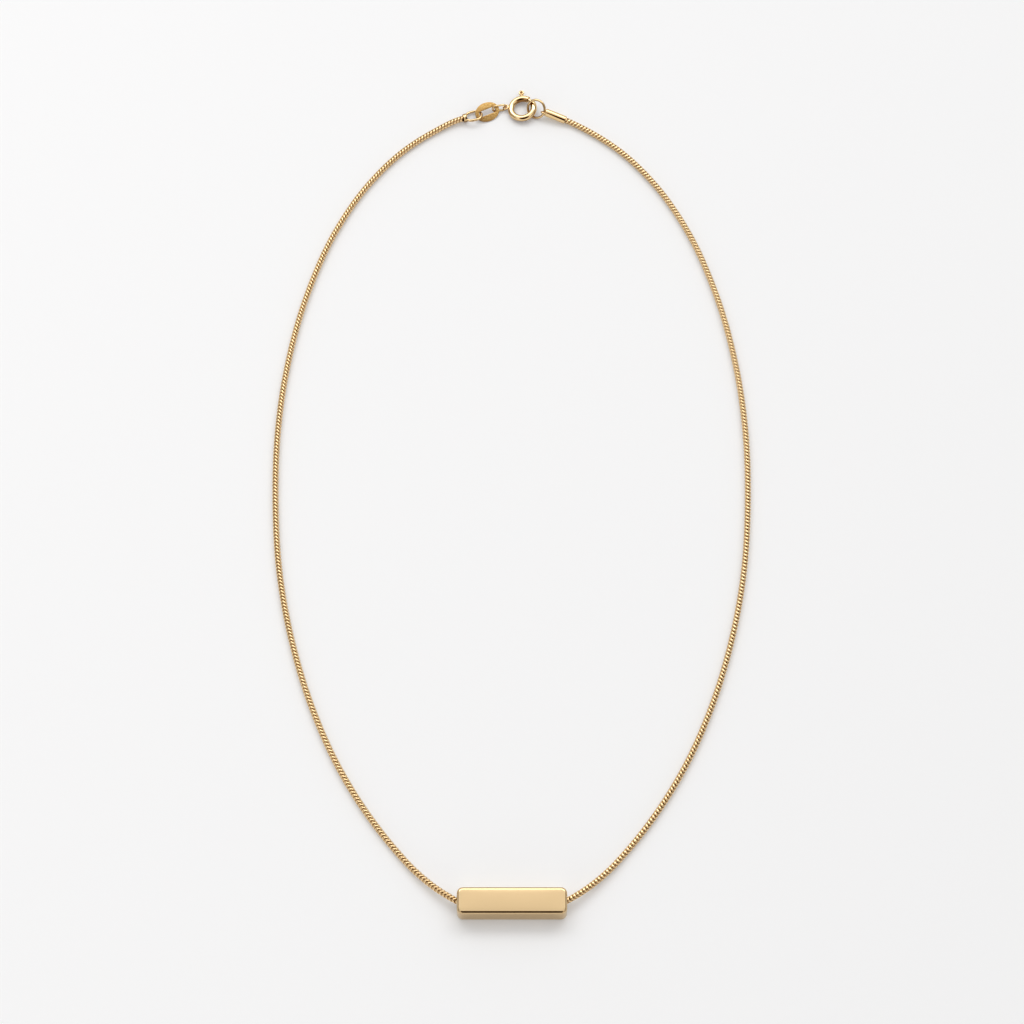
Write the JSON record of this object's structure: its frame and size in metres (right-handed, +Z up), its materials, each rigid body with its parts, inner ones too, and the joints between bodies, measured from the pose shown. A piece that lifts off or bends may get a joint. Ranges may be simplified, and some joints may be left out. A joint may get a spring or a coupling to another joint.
{
  "type": "bar pendant necklace",
  "caption": "Plain rounded bar threaded on a round snake chain that closes with a spring ring, an oval tag link and a jump ring, lying flat.",
  "frame": {"origin": "on the table, under the middle of the whole necklace's box", "axes": "+X to the right along the bar, +Y from the bar to the clasp, +Z up from the table"},
  "size_m": [0.1006, 0.1928, 0.0044],
  "materials": {
    "chain_gold": "polished",
    "bar_gold": "fine satin",
    "clasp_gold": "polished",
    "tag_gold": "satin"
  },
  "bodies": {
    "necklace": {"chain_left": "chain_gold", "chain_right": "chain_gold", "bar": "bar_gold", "end_loop": "clasp_gold", "tag_link": "tag_gold", "connecting_ring": "clasp_gold", "spring_ring_case": "clasp_gold", "jump_ring": "clasp_gold", "end_cap": "clasp_gold"},
    "bolt": {"spring_ring_bolt": "clasp_gold"}
  },
  "joints": [
    {"name": "bolt_slide", "type": "hinge", "parent": "necklace", "child": "bolt", "pos_m": [0.00238, 0.09156, 0.00105], "axis": [-0.1392, 0, 0.9903], "range_deg": [0, 43], "stiffness_Nm_per_rad": 0.002, "springref_deg": -17.19}
  ]
}
